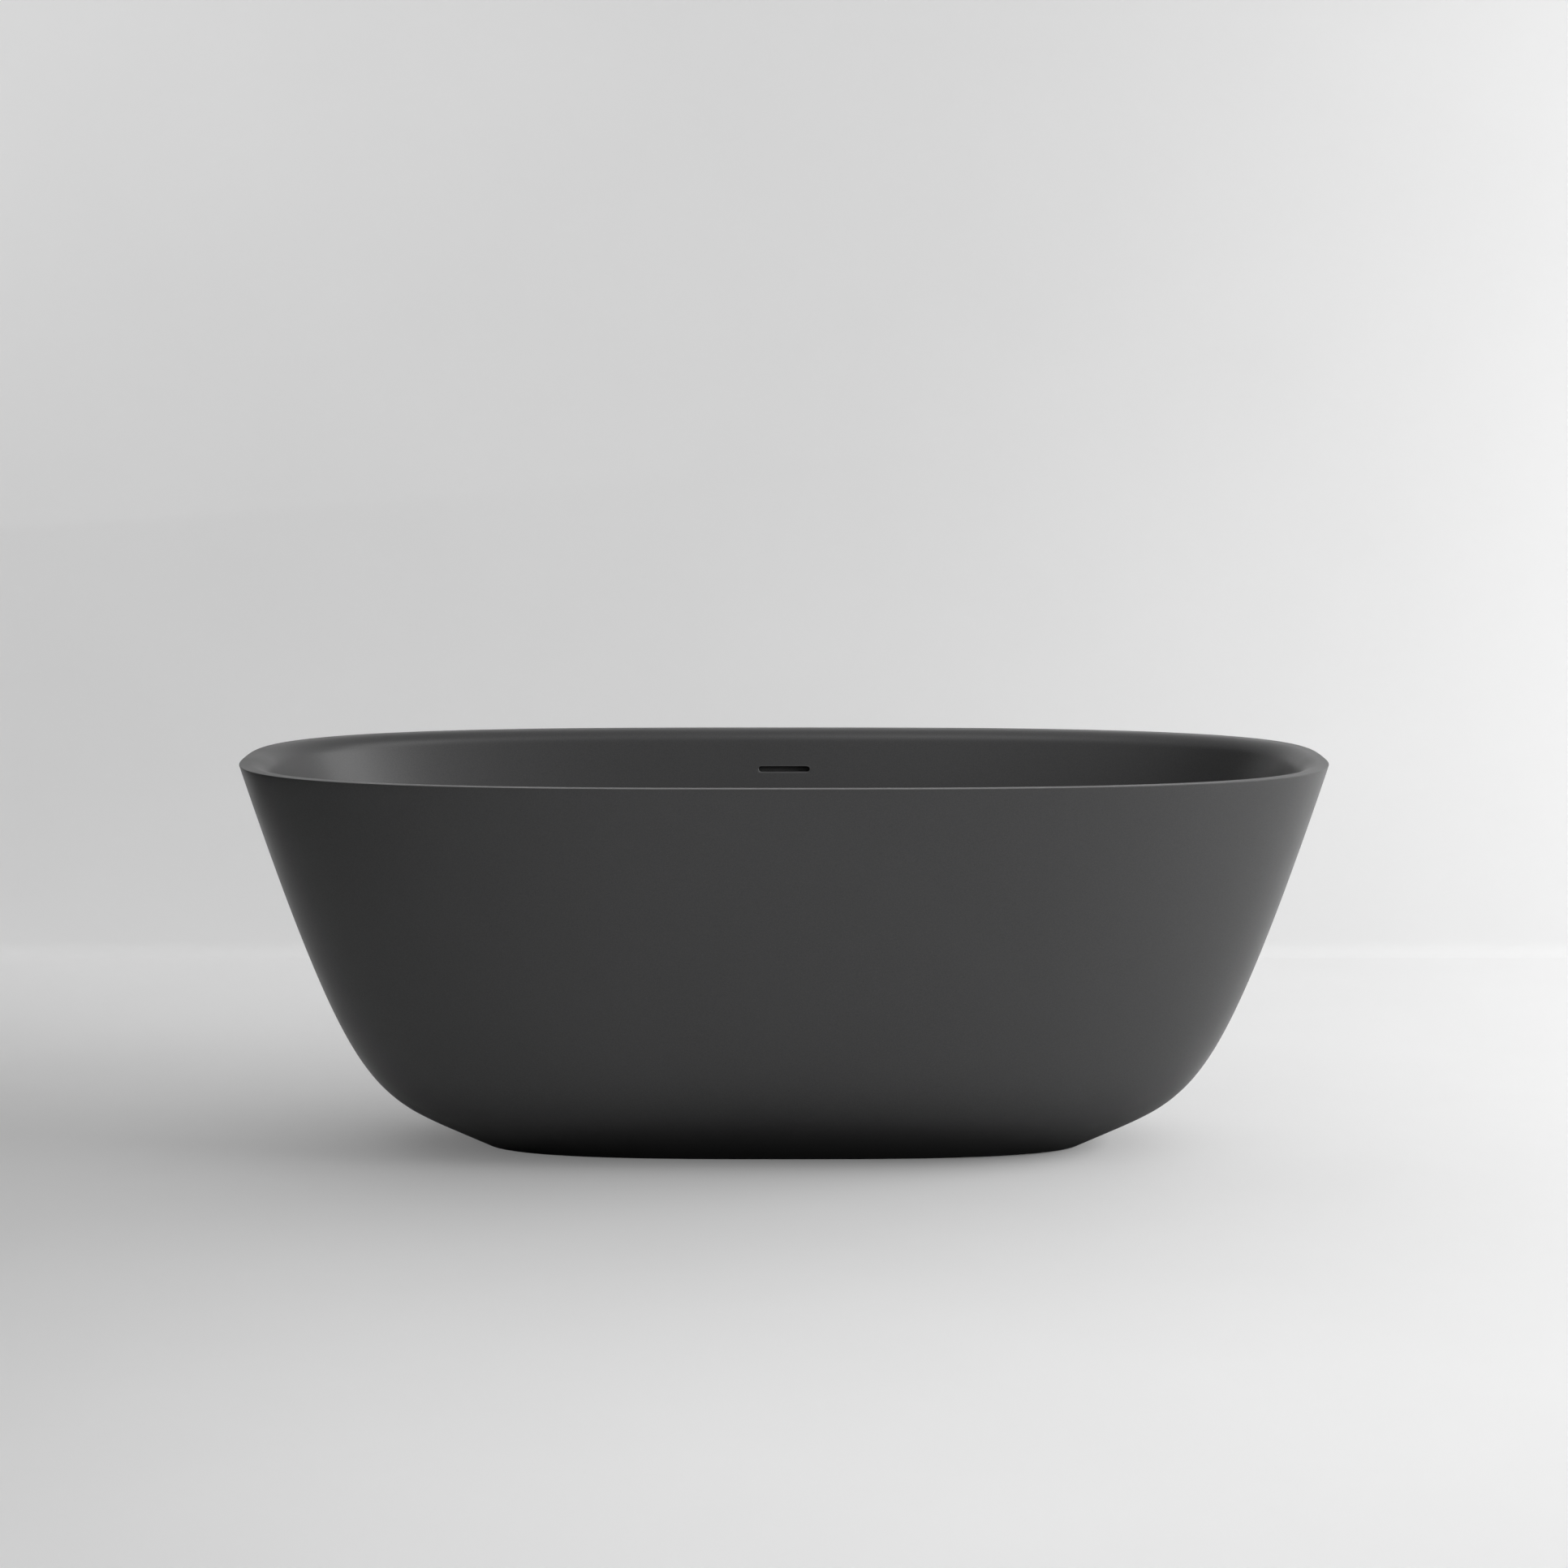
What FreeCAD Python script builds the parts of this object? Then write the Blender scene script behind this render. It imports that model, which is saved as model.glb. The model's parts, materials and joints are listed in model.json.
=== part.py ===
import FreeCAD, Part
import math, os
from FreeCAD import Vector

os.makedirs("parts", exist_ok=True)

# ---------------------------------------------------------------- driving dimensions (mm)
HEIGHT = 580.0            # floor to rim
HALF_L = 800.0            # half length at the rim
HALF_W = 375.0            # half width at the rim
N_RIM = 2.93              # exponent of the oval (superellipse) sections
SKIRT_Z = 2.0             # shadow gap under the skirt
BASE_A, BASE_B = 443.55, 143.0
# control polygon of the end profile: half length, height
END_POLY = [(443.55, 0.0), (471.41, 14.23), (539.41, 47.07), (587.67, 77.87),
            (639.35, 137.86), (700.45, 272.89), (760.0, 448.83), (801.3, 580.0)]
SHELL_T = 10.0            # wall of the outer shell
BASIN_T = 12.0            # wall of the basin
EDGE_R = 3.0              # crisp outer edge of the rim
LIP_FLAT_A, LIP_FLAT_B = 786.0, 361.0   # where the flat lip turns into the roll
LIP_DEPTH = 14.0          # bond line between lip and shell
DRAIN_Z = 146.0           # basin floor beside the waste
FLANGE_A, FLANGE_B = 420.0, 118.0       # inner edge of the base ring
FLANGE_TOP = 14.0
BOARD_T = 18.0
BOARD_A, BOARD_B = 440.0, 136.0
SLOT_Z, SLOT_W, SLOT_H = 519.0, 80.0, 8.0
FOOT_X, FOOT_Y = 310.0, 66.0
PORT_Z = 104.0            # overflow branch of the waste body
TRAP_R = 30.0             # centre-line radius of the pipe bends
PIPE_RO, PIPE_RI = 21.5, 19.0
HOSE_RO, HOSE_RI = 15.5, 12.6
HOSE_ANG = 65.0           # rise of the hose behind the wall, degrees
OUTLET_X = 170.0
NQ = 14                   # points per quadrant of a section

# ---------------------------------------------------------------- oval sections
def _quarter_angles():
    """parameter angles that space a rim-like oval evenly along its length"""
    ra, rb, n, m = 700.0, 320.0, N_RIM, 4000
    s, acc, px, py = [0.0], 0.0, ra, 0.0
    for k in range(1, m + 1):
        t = math.pi / 2 * k / m
        x = ra * abs(math.cos(t)) ** (2 / n)
        y = rb * abs(math.sin(t)) ** (2 / n)
        if k == m:
            x = 0.0
        acc += math.hypot(x - px, y - py)
        s.append(acc)
        px, py = x, y
    out, j = [], 0
    for q in range(NQ + 1):
        want = acc * q / NQ
        while j < m and s[j + 1] < want:
            j += 1
        if q == NQ:
            out.append(math.pi / 2)
        elif q == 0:
            out.append(0.0)
        else:
            f = (want - s[j]) / (s[j + 1] - s[j])
            out.append(math.pi / 2 * (j + f) / m)
    return out

QA = _quarter_angles()

def unit_points(n):
    q = []
    for t in QA:
        c, s = math.cos(t), math.sin(t)
        q.append((0.0 if c < 1e-9 else c ** (2 / n), 0.0 if s < 1e-9 else s ** (2 / n)))
    q[0], q[-1] = (1.0, 0.0), (0.0, 1.0)
    pts = q[:-1]
    pts += [(-x, y) for x, y in reversed(q)][:-1]
    pts += [(-x, -y) for x, y in q][:-1]
    pts += [(x, -y) for x, y in reversed(q)][:-1]
    return pts

_poles = {}
def unit_poles(n):
    """poles of the periodic cubic that passes through the unit oval's points"""
    key = round(n, 6)
    if key in _poles:
        return _poles[key]
    d = unit_points(n)
    m = len(d)
    p = [list(v) for v in d]
    for _ in range(80):
        for i in range(m):
            for c in (0, 1):
                p[i][c] = (6 * d[i][c] - p[i - 1][c] - p[(i + 1) % m][c]) / 4
    _poles[key] = [tuple(v) for v in p]
    return _poles[key]

def oval_edge(a, b, z, n=N_RIM):
    m = 4 * NQ
    c = Part.BSplineCurve()
    c.buildFromPolesMultsKnots([Vector(a * x, b * y, z) for x, y in unit_poles(n)],
                               [1] * (m + 1), list(range(m + 1)), True, 3)
    return c.toShape()

def oval_face(a, b, z, n=N_RIM):
    return Part.Face(Part.Wire([oval_edge(a, b, z, n)]))

def oval_slab(a, b, z0, z1, n=N_RIM):
    return oval_face(a, b, z0, n).extrude(Vector(0, 0, z1 - z0))

# ---------------------------------------------------------------- profile curves in (a, b, z, n)
def _basis(i, p, t, kn):
    if p == 0:
        last = max(k for k in kn)
        return 1.0 if (kn[i] <= t < kn[i + 1]) or (t == last and kn[i] < t <= kn[i + 1]) else 0.0
    v = 0.0
    if kn[i + p] > kn[i]:
        v += (t - kn[i]) / (kn[i + p] - kn[i]) * _basis(i, p - 1, t, kn)
    if kn[i + p + 1] > kn[i + 1]:
        v += (kn[i + p + 1] - t) / (kn[i + p + 1] - kn[i + 1]) * _basis(i + 1, p - 1, t, kn)
    return v

def _solve(A, B):
    n = len(A)
    M = [list(A[i]) + list(B[i]) for i in range(n)]
    for c in range(n):
        piv = max(range(c, n), key=lambda r: abs(M[r][c]))
        M[c], M[piv] = M[piv], M[c]
        for r in range(n):
            if r != c and M[r][c] != 0.0:
                f = M[r][c] / M[c][c]
                for k in range(c, len(M[c])):
                    M[r][k] -= f * M[c][k]
    return [[M[i][k] / M[i][i] for k in range(n, len(M[i]))] for i in range(n)]

def spline(rows):
    """clamped cubic through the rows: returns poles and flat knots"""
    p, m = 3, len(rows)
    s = [0.0]
    for k in range(1, m):
        s.append(s[-1] + math.sqrt(sum((rows[k][c] - rows[k - 1][c]) ** 2 for c in (0, 1, 2))) ** 0.7)
    s = [v / s[-1] for v in s]
    kn = [0.0] * (p + 1) + [sum(s[j:j + p]) / p for j in range(1, m - p)] + [1.0] * (p + 1)
    A = [[_basis(i, p, t, kn) for i in range(m)] for t in s]
    return _solve(A, [list(r) for r in rows]), kn, p

def line(r0, r1):
    return [list(r0), list(r1)], [0.0, 0.0, 1.0, 1.0], 1

def at(curve, t):
    poles, kn, p = curve
    w = [_basis(i, p, t, kn) for i in range(len(poles))]
    return [sum(w[i] * poles[i][c] for i in range(len(poles))) for c in range(4)]

def skin(curve):
    """sweeps the oval section along a profile curve"""
    poles, kn, p = curve
    m = 4 * NQ
    cols = []
    for a, b, z, n in poles:
        cols.append([Vector(a * x, b * y, z) for x, y in unit_poles(n)])
    grid = [[cols[j][i] for j in range(len(poles))] for i in range(m)]
    ks, ms = [], []
    for k in kn:
        if ks and abs(ks[-1] - k) < 1e-12:
            ms[-1] += 1
        else:
            ks.append(k)
            ms.append(1)
    s = Part.BSplineSurface()
    s.buildFromPolesMultsKnots(grid, [1] * (m + 1), ms, list(range(m + 1)), ks, True, False, 3, p)
    return s.toShape()

def closed_solid(faces):
    c = Part.makeCompound(faces)
    c.sewShape(0.001)
    sh = c.Shells[0] if c.Shells else Part.Shell(c.Faces)
    s = Part.Solid(sh)
    if s.Volume < 0:
        s.reverse()
    return s

def loop_solid(curves, caps=()):
    return closed_solid([skin(c) for c in curves] + list(caps))

# ---------------------------------------------------------------- outer profile
_okn = [0.0] * 4 + [0.2, 0.4, 0.6, 0.8] + [1.0] * 4
def b_of_a(a):
    return BASE_B + (HALF_W - BASE_B) * (a - BASE_A) / (HALF_L - BASE_A)
OUTER = ([[a, b_of_a(a), z, N_RIM] for a, z in END_POLY], _okn, 3)

def outer_t(z):
    lo, hi = 0.0, 1.0
    for _ in range(60):
        mid = (lo + hi) / 2
        if at(OUTER, mid)[2] < z:
            lo = mid
        else:
            hi = mid
    return (lo + hi) / 2

def outer_row(z):
    return at(OUTER, outer_t(z))

def sub_curve(curve, t0, t1, m=26):
    return spline([at(curve, t0 + (t1 - t0) * k / (m - 1)) for k in range(m)])

def offset_rows(rows, d):
    """moves each row by d along the profile's normal (d > 0 inwards and up)"""
    out = []
    for k, r in enumerate(rows):
        q0, q1 = rows[max(k - 1, 0)], rows[min(k + 1, len(rows) - 1)]
        da, db, dz = q1[0] - q0[0], q1[1] - q0[1], q1[2] - q0[2]
        la, lb = math.hypot(da, dz), math.hypot(db, dz)
        za, zb = r[2] + d * da / la, r[2] + d * db / lb
        a, b = r[0] - d * dz / la, r[1] - d * dz / lb
        z = (za + zb) / 2
        if abs(dz) > 1e-9:
            a += (z - za) * max(-2.5, min(2.5, da / dz))
            b += (z - zb) * max(-2.5, min(2.5, db / dz))
        out.append([a, b, z, r[3]])
    return out

# rim edge: the wall ends on a small radius, then the flat lip
_slope_a = (END_POLY[-1][0] - END_POLY[-2][0]) / (END_POLY[-1][1] - END_POLY[-2][1])
_ang = math.atan(_slope_a)
_tl = EDGE_R / math.tan((math.pi / 2 - _ang) / 2)
t_edge = outer_t(HEIGHT - _tl * math.cos(_ang))
row_edge = at(OUTER, t_edge)
_c = END_POLY[-1][0]
row_flat = [_c - _tl, b_of_a(_c) - _tl, HEIGHT, N_RIM]
_h = 4.0 / 3.0 * math.tan((math.pi / 2 + _ang) / 4) * EDGE_R
_eps = 1e-4
_pe = at(OUTER, t_edge - _eps)
_d = [row_edge[c] - _pe[c] for c in (0, 1, 2)]
_l = math.hypot(_d[0], _d[2])
edge_curve = ([row_edge,
               [row_edge[c] + _h * _d[c] / _l for c in (0, 1, 2)] + [N_RIM],
               [row_flat[0] + _h, row_flat[1] + _h, HEIGHT, N_RIM],
               row_flat], [0.0] * 4 + [1.0] * 4, 3)

# shell's inner face
t_skirt = outer_t(SKIRT_Z)
outer_curve = sub_curve(OUTER, t_skirt, t_edge, 30)
# horizontal offset near the rim, so lip and shell share one conical bond face
_ho_a = SHELL_T / math.cos(_ang)
_pe2 = at(OUTER, 1.0 - _eps)
_p1 = at(OUTER, 1.0)
_angb = math.atan((_p1[1] - _pe2[1]) / (_p1[2] - _pe2[2]))
_ho_b = SHELL_T / math.cos(_angb)
_ra = outer_row(HEIGHT - LIP_DEPTH)
bond_top = [_p1[0] - _ho_a, _p1[1] - _ho_b, HEIGHT, N_RIM]
bond_bot = [_ra[0] - _ho_a, _ra[1] - _ho_b, HEIGHT - LIP_DEPTH, N_RIM]

_zs = [0.0, 3, 7, 12, 18, 26, 36, 48, 62, 78, 96, 118, 145, 180, 225, 280, 345, 420, 500, 560]
_inner_raw = offset_rows([outer_row(z) for z in _zs], SHELL_T)
_inner_raw = [r for r in _inner_raw if FLANGE_TOP + 4 < r[2] < HEIGHT - LIP_DEPTH - 22]
def _row_at(rows, z):
    for k in range(len(rows) - 1):
        if rows[k][2] <= z <= rows[k + 1][2]:
            f = (z - rows[k][2]) / (rows[k + 1][2] - rows[k][2])
            return [rows[k][c] + f * (rows[k + 1][c] - rows[k][c]) for c in range(4)]
_full = offset_rows([outer_row(z) for z in _zs], SHELL_T)
shell_in_bot = _row_at(_full, FLANGE_TOP)
shell_in = spline([shell_in_bot] + _inner_raw + [bond_bot])

skirt = at(outer_curve, 0.0)
flange_out = [FLANGE_A, FLANGE_B, SKIRT_Z, N_RIM]
flange_in = [FLANGE_A, FLANGE_B, FLANGE_TOP, N_RIM]

outer_shell = loop_solid([outer_curve, edge_curve, line(row_flat, bond_top), line(bond_top, bond_bot),
                          shell_in, line(shell_in_bot, flange_in), line(flange_in, flange_out),
                          line(flange_out, skirt)])

# ---------------------------------------------------------------- basin
ROLL_Z = 562.0
_da, _db = math.radians(65), math.radians(76)
_Ra = (HEIGHT - ROLL_Z) / (1 - math.cos(_da))
_Rb = (HEIGHT - ROLL_Z) / (1 - math.cos(_db))
roll = []
for k in range(9):
    f = k / 8.0
    z = HEIGHT - (HEIGHT - ROLL_Z) * (1 - math.cos(f * _db)) / (1 - math.cos(_db))
    ta = math.acos(1 - (HEIGHT - z) / _Ra)
    tb = math.acos(1 - (HEIGHT - z) / _Rb)
    roll.append([LIP_FLAT_A - _Ra * math.sin(ta), LIP_FLAT_B - _Rb * math.sin(tb), z, N_RIM])
wall = [(743.5, 330.4, 531, 2.93), (728.9, 322.3, 500, 2.93), (705.2, 309.2, 450, 2.92), (680.8, 295.4, 400, 2.9),
        (655.4, 280.8, 350, 2.88), (628, 265, 300, 2.85), (596.5, 246.6, 250, 2.82), (565.5, 229, 212, 2.78),
        (536, 212.5, 187, 2.74), (502, 195, 170, 2.7), (462, 176, 160.5, 2.66), (414, 155, 155.6, 2.6),
        (350, 131, 152.6, 2.52), (270, 106, 150.4, 2.42), (180, 83, 148.6, 2.3), (105, 64, 147.2, 2.12),
        (50, 50, DRAIN_Z, 2.0)]
inner_rows = roll + [list(r) for r in wall]
basin_in = spline(inner_rows)
under = offset_rows([[r[0], r[1], r[2], r[3]] for r in inner_rows], BASIN_T)
# walls run downwards here, so the offset above moves rows outwards and down
under = [r for r in under[9:-1]]
lip_root = [769.5, 350.2, 557.5, N_RIM]
drain_under = [50.0, 50.0, DRAIN_Z - BASIN_T, 2.0]
basin_out = spline([lip_root] + under + [drain_under])
basin = loop_solid([line(bond_bot, bond_top), line(bond_top, roll[0]), basin_in, basin_out,
                    line(lip_root, bond_bot)],
                   [oval_face(50, 50, DRAIN_Z, 2.0), oval_face(50, 50, DRAIN_Z - BASIN_T, 2.0)])

def cyl(r, z0, z1, x=0.0, y=0.0):
    return Part.makeCylinder(r, z1 - z0, Vector(x, y, z0))

def tube(ro, ri, z0, z1, x=0.0, y=0.0):
    return cyl(ro, z0, z1, x, y).cut(cyl(ri, z0 - 1, z1 + 1, x, y))

basin = basin.cut(cyl(38.0, DRAIN_Z - 4.0, DRAIN_Z + 5)).cut(cyl(25.0, 120, 160))

def slot_tool(w, h, y0, y1, z):
    r = h / 2
    x = w / 2 - r
    e = [Part.makeLine(Vector(-x, y0, z - r), Vector(x, y0, z - r)),
         Part.Arc(Vector(x, y0, z - r), Vector(x + r, y0, z), Vector(x, y0, z + r)).toShape(),
         Part.makeLine(Vector(x, y0, z + r), Vector(-x, y0, z + r)),
         Part.Arc(Vector(-x, y0, z + r), Vector(-x - r, y0, z), Vector(-x, y0, z - r)).toShape()]
    return Part.Face(Part.Wire(e)).extrude(Vector(0, y1 - y0, 0))

basin = basin.cut(slot_tool(SLOT_W, SLOT_H, 300, 352, SLOT_Z))

# ---------------------------------------------------------------- overflow duct behind the far wall
def back_row(z):
    lo, hi = 0.0, 1.0
    for _ in range(60):
        mid = (lo + hi) / 2
        if at(basin_out, mid)[2] > z:
            lo = mid
        else:
            hi = mid
    return at(basin_out, (lo + hi) / 2)

DUCT_TOP, DUCT_BOT, DUCT_WALL = 536.0, 215.0, 2.5
def duct_depth(z):
    f = (DUCT_TOP - z) / (DUCT_TOP - DUCT_BOT)
    return 10.0 + 20.0 * f

def duct_ring(z0, z1, extra_in, extra_out, m=14):
    rows_i, rows_o = [], []
    for k in range(m):
        z = z0 + (z1 - z0) * k / (m - 1)
        r = back_row(z)
        d = duct_depth(z) + extra_out
        rows_i.append([r[0] - extra_in, r[1] - extra_in, z, r[3]])
        rows_o.append([r[0] + d, r[1] + d, z, r[3]])
    return rows_i, rows_o

def ring_solid(rows_i, rows_o, inner=None):
    ci = inner if inner else spline(rows_i)
    co = spline(rows_o)
    return loop_solid([ci, line(rows_i[-1], rows_o[-1]), co, line(rows_o[0], rows_i[0])])

_ri, _ro = duct_ring(DUCT_BOT, DUCT_TOP, 3.0, 0.0)
duct = ring_solid(_ri, _ro).common(Part.makeBox(96, 400, 400, Vector(-48, 100, 200)))
_ri, _ro = duct_ring(DUCT_BOT + DUCT_WALL, DUCT_TOP - DUCT_WALL, 6.0, -DUCT_WALL)
_cav = ring_solid(_ri, _ro).common(Part.makeBox(96 - 2 * DUCT_WALL, 400, 400, Vector(-48 + DUCT_WALL, 100, 200)))
duct = duct.cut(_cav)

ca, sa = math.cos(math.radians(HOSE_ANG)), math.sin(math.radians(HOSE_ANG))
up = Vector(0, ca, sa)
s2 = Vector(0, 233.2, 150.0)                 # a point of the hose's rising run
top_pt = s2 + up * ((DUCT_BOT + 1.0 - s2.z) / sa)
spig = Part.makeCylinder(12.5, 27.0, top_pt - up * 26.0, up)
bore = Part.makeCylinder(10.0, 36.0, top_pt - up * 30.0, up)
_in = oval_slab(back_row(DUCT_BOT + 1)[0] + 60, 400, DUCT_BOT - 40, DUCT_BOT + 1.2)
duct = duct.fuse(spig.common(_in)).cut(bore).cut(basin)
duct = duct.Solids[0] if len(duct.Solids) == 1 else max(duct.Solids, key=lambda q: q.Volume)

# ---------------------------------------------------------------- hose from duct to waste body
def bend_yz(ro, ri):
    k = (s2.z - PORT_Z) / sa
    corner = s2 - up * k                     # where the two runs would meet
    T = 45.0 * math.tan(math.radians(HOSE_ANG / 2))
    a0 = corner - Vector(0, 1, 0) * T
    a1 = corner + up * T
    centre = a0 + Vector(0, 0, 45.0)
    mid_dir = (a0 + a1) * 0.5 - centre
    mid_dir.normalize()
    mid = centre + mid_dir * 45.0
    start = Vector(0, 42.0, PORT_Z)
    end = top_pt - up * 10.0
    path = Part.Wire([Part.makeLine(start, a0), Part.Arc(a0, mid, a1).toShape(), Part.makeLine(a1, end)])
    def sweep(r):
        prof = Part.Wire([Part.makeCircle(r, start, Vector(0, 1, 0))])
        return path.makePipeShell([prof], True, False)
    return sweep(ro).cut(sweep(ri)), a0, a1, end

hose, hose_a0, hose_a1, hose_end = bend_yz(HOSE_RO, HOSE_RI)

def clip(origin, axis):
    band = Part.makeCylinder(HOSE_RO + 1.2, 9.0, origin, axis).cut(Part.makeCylinder(HOSE_RO, 11.0, origin - axis * 1.0, axis))
    box = Part.makeBox(14, 7, 9, Vector(-7, 0, 0))
    box.Placement = FreeCAD.Placement(origin, FreeCAD.Rotation(Vector(0, 0, 1), axis)).multiply(
        FreeCAD.Placement(Vector(HOSE_RO + 0.4, 0, 0), FreeCAD.Rotation(Vector(0, 0, 1), 90)).multiply(
            FreeCAD.Placement(Vector(0, -7, 0), FreeCAD.Rotation())))
    return band.fuse(box.cut(Part.makeCylinder(HOSE_RO, 11.0, origin - axis * 1.0, axis)))

clip_upper = clip(top_pt - up * 23.0, up)
clip_lower = clip(Vector(0, 47.0, PORT_Z), Vector(0, 1, 0))

# ---------------------------------------------------------------- waste
gasket_upper = tube(35.0, 25.5, 142.0, 143.5)
flange = tube(36.0, 20.0, 143.5, 146.0).fuse(tube(23.5, 20.0, 116.0, 144.0))
boss = tube(10.5, 7.0, 116.0, 126.0)
arms = []
for ang in (90, 210, 330):
    arm = Part.makeBox(13.0, 5.0, 6.0, Vector(8.8, -2.5, 118.0))
    arm.rotate(Vector(0, 0, 0), Vector(0, 0, 1), ang)
    arms.append(arm)
flange = flange.fuse(arms + [boss]).cut(cyl(7.0, 110, 130)).removeSplitter()
flange = flange.cut(Part.makeCone(20.0, 22.6, 2.6, Vector(0, 0, 143.4)))
cartridge = cyl(8.0, 126.0, 136.0).fuse(cyl(7.0, 108.0, 126.0)).cut(cyl(5.0, 111.0, 140.0))
cartridge = cartridge.removeSplitter()
stem = cyl(4.95, 122.0, 147.5).fuse(cyl(2.5, 147.0, 150.0)).removeSplitter()
seal = tube(29.0, 24.0, 146.0, 147.5)
cap_face = Part.Face(Part.Wire([
    Part.makeLine(Vector(2.5, 0, 147.5), Vector(33.2, 0, 147.5)),
    Part.Arc(Vector(33.2, 0, 147.5), Vector(33.77, 0, 147.73), Vector(34.0, 0, 148.3)).toShape(),
    Part.makeLine(Vector(34.0, 0, 148.3), Vector(34.0, 0, 149.4)),
    Part.Arc(Vector(34.0, 0, 149.4), Vector(33.53, 0, 150.53), Vector(32.4, 0, 151.0)).toShape(),
    Part.makeLine(Vector(32.4, 0, 151.0), Vector(20.0, 0, 151.7)),
    Part.makeLine(Vector(20.0, 0, 151.7), Vector(0, 0, 152.0)),
    Part.makeLine(Vector(0, 0, 152.0), Vector(0, 0, 150.0)),
    Part.makeLine(Vector(0, 0, 150.0), Vector(2.5, 0, 150.0)),
    Part.makeLine(Vector(2.5, 0, 150.0), Vector(2.5, 0, 147.5))]))
cap = cap_face.revolve(Vector(0, 0, 0), Vector(0, 0, 1), 360)

def spring_solid(r, wire_r, z0, z1, turns):
    h = Part.makeHelix((z1 - z0 - 2 * wire_r) / turns, z1 - z0 - 2 * wire_r, r)
    h.translate(Vector(0, 0, z0 + wire_r))
    prof = Part.Wire([Part.makeCircle(wire_r, Vector(r, 0, z0 + wire_r), Vector(0, 1, 0))])
    return Part.Wire(h.Edges).makePipeShell([prof], True, True)

spring = spring_solid(3.9, 0.45, 111.0, 122.0, 5)

gasket_lower = tube(33.0, 24.0, 131.0, 134.0)
body = cyl(28.0, 88.0, 131.0).fuse(cyl(34.0, 127.0, 131.0)).fuse(cyl(23.9, 72.0, 90.0))
port = Part.makeCylinder(12.5, 36.0, Vector(0, 24.0, PORT_Z), Vector(0, 1, 0))
body = body.fuse(port)
body = body.cut(cyl(23.55, 115.6, 140.0)).cut(cyl(20.5, 89.0, 116.0)).cut(cyl(20.0, 60.0, 92.0))
body = body.cut(Part.makeCylinder(10.0, 50.0, Vector(0, 14.0, PORT_Z), Vector(0, 1, 0)))
body = body.removeSplitter()

def knurl(ro, ri_thread, ri_neck, z0, z_step, z1, lobes=8, depth=1.6):
    """union nut about Z: thread above z_step, narrow neck below it"""
    n = cyl(ro, z0, z1)
    for k in range(lobes):
        g = cyl(3.4, z0 - 1, z1 + 1)
        g.translate(Vector((ro + 3.4 - depth) * math.cos(2 * math.pi * k / lobes),
                           (ro + 3.4 - depth) * math.sin(2 * math.pi * k / lobes), 0))
        n = n.cut(g)
    return n.cut(cyl(ri_thread, z_step, z1 + 1)).cut(cyl(ri_neck, z0 - 1, z_step + 1))

inlet_nut = knurl(30.0, 23.95, 21.6, 63.0, 67.0, 88.0)
inlet_seal = tube(23.6, 20.0, 70.0, 72.0)

def pipe_xz(pts, r):
    """pts: list of ('L', p0, p1) or ('A', p0, mid, p1) pieces in the XZ plane"""
    es = []
    for q in pts:
        v = [Vector(x, 0, z) for x, z in q[1:]]
        es.append(Part.makeLine(*v) if q[0] == 'L' else Part.Arc(*v).toShape())
    first = pts[0]
    d = Vector(first[2][0] - first[1][0], 0, first[2][1] - first[1][1])
    prof = Part.Wire([Part.makeCircle(r, Vector(first[1][0], 0, first[1][1]), d)])
    return Part.Wire(es).makePipeShell([prof], True, False)

q45 = TRAP_R * math.sqrt(0.5)
trap_path = [('L', (0, 70), (0, 60)), ('A', (0, 60), (30, 30), (60, 60)), ('L', (60, 60), (60, 74)),
             ('A', (60, 74), (90 - q45, 74 + q45), (90, 104)), ('L', (90, 104), (110, 104))]
trap = pipe_xz(trap_path, PIPE_RO).fuse(cyl(23.7, 67.0, 70.0))
trap = trap.fuse(Part.makeCylinder(23.9, 14.0, Vector(96, 0, PORT_Z), Vector(1, 0, 0)))
trap = trap.cut(pipe_xz(trap_path, PIPE_RI)).removeSplitter()

def turn_x(s, z0, x0):
    """turns a part built about +Z so that its +Z runs along -X, its z0 plane at x0"""
    s.translate(Vector(0, 0, -z0))
    s.rotate(Vector(0, 0, 0), Vector(0, 1, 0), -90)
    s.translate(Vector(x0, 0, PORT_Z))
    return s

outlet_nut = turn_x(knurl(28.5, 23.95, 21.6, 0.0, 4.0, 24.0), 0.0, 119.0)
outlet_seal = Part.makeCylinder(23.6, 2.0, Vector(110, 0, PORT_Z), Vector(1, 0, 0)).cut(
    Part.makeCylinder(20.0, 4.0, Vector(109, 0, PORT_Z), Vector(1, 0, 0)))
elbow_path = [('L', (112, 104), (140, 104)), ('A', (140, 104), (140 + q45, 74 + q45), (170, 74)),
              ('L', (170, 74), (170, 6))]
elbow = pipe_xz(elbow_path, PIPE_RO).fuse(Part.makeCylinder(23.7, 3.0, Vector(112, 0, PORT_Z), Vector(1, 0, 0)))
elbow = elbow.cut(pipe_xz(elbow_path, PIPE_RI)).removeSplitter()

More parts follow.
